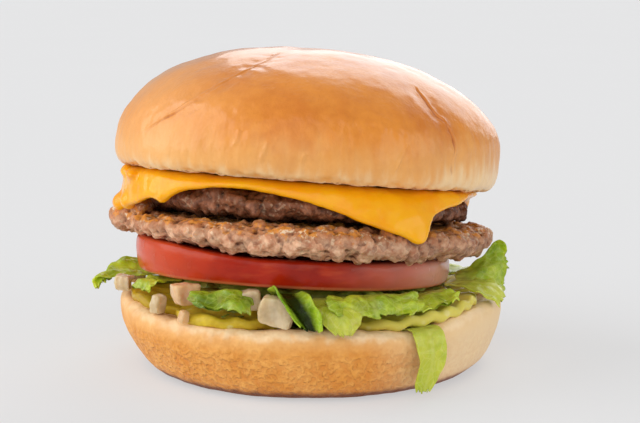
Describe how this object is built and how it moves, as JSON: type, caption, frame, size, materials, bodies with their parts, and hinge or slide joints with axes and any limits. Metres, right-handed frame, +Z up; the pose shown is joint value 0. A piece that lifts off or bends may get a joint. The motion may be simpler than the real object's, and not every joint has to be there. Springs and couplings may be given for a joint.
{
  "type": "cheeseburger",
  "caption": "Cheeseburger: a domed bun crown over melted cheese, stacked beef patties, a tomato slice, lettuce, onion and pickle on a bun heel.",
  "frame": {"origin": "centre of the heel's flat underside, on the surface that the burger stands on", "axes": "+Z up; -Y is the front, where the cheese corner and the long lettuce strip hang; +X to the right as seen from the front"},
  "size_m": [0.1196, 0.1192, 0.0909],
  "materials": {
    "heel_crust": "soft baked crust, pale and creamy at the cut rim, dark brown at the foot",
    "crown_crust": "smooth glazed crust, golden on top and pale at its lower edge",
    "pickle": "wet olive-yellow, translucent",
    "onion": "wet translucent off-white",
    "lettuce": "fresh green, glossy on the ribs",
    "pale_lettuce": "pale yellow-green",
    "tomato": "wet red skin",
    "lower_beef": "browned ground beef",
    "upper_beef": "dark browned ground beef",
    "cheese": "melted, smooth and glossy"
  },
  "bodies": {
    "root": {"heel_bun": "heel_crust", "pickle_slice_1": "pickle", "pickle_slice_2": "pickle", "pickle_slice_3": "pickle", "pickle_slice_4": "pickle", "pickle_slice_5": "pickle", "pickle_slice_6": "pickle", "onion_die_1": "onion", "onion_die_2": "onion", "onion_die_3": "onion", "onion_die_4": "onion", "onion_die_5": "onion", "onion_die_6": "onion", "onion_die_7": "onion", "onion_die_8": "onion", "onion_die_9": "onion", "onion_die_10": "onion", "onion_die_11": "onion", "leaf_left": "lettuce", "leaf_right": "lettuce", "leaf_hanging": "pale_lettuce", "leaf_ruffle": "lettuce", "leaf_tongue": "pale_lettuce", "leaf_curl": "lettuce", "leaf_small": "lettuce", "leaf_left_fold": "lettuce", "leaf_right_pale": "pale_lettuce", "leaf_right_inner": "lettuce", "leaf_back_1": "lettuce", "leaf_back_2": "lettuce", "leaf_back_3": "lettuce", "leaf_back_4": "lettuce", "leaf_back_5": "lettuce", "leaf_back_6": "lettuce", "leaf_back_7": "lettuce", "lettuce_bed": "lettuce", "tomato_slice": "tomato", "lower_patty": "lower_beef", "upper_patty": "upper_beef", "cheese_slice": "cheese", "crown_bun": "crown_crust"}
  },
  "joints": []
}
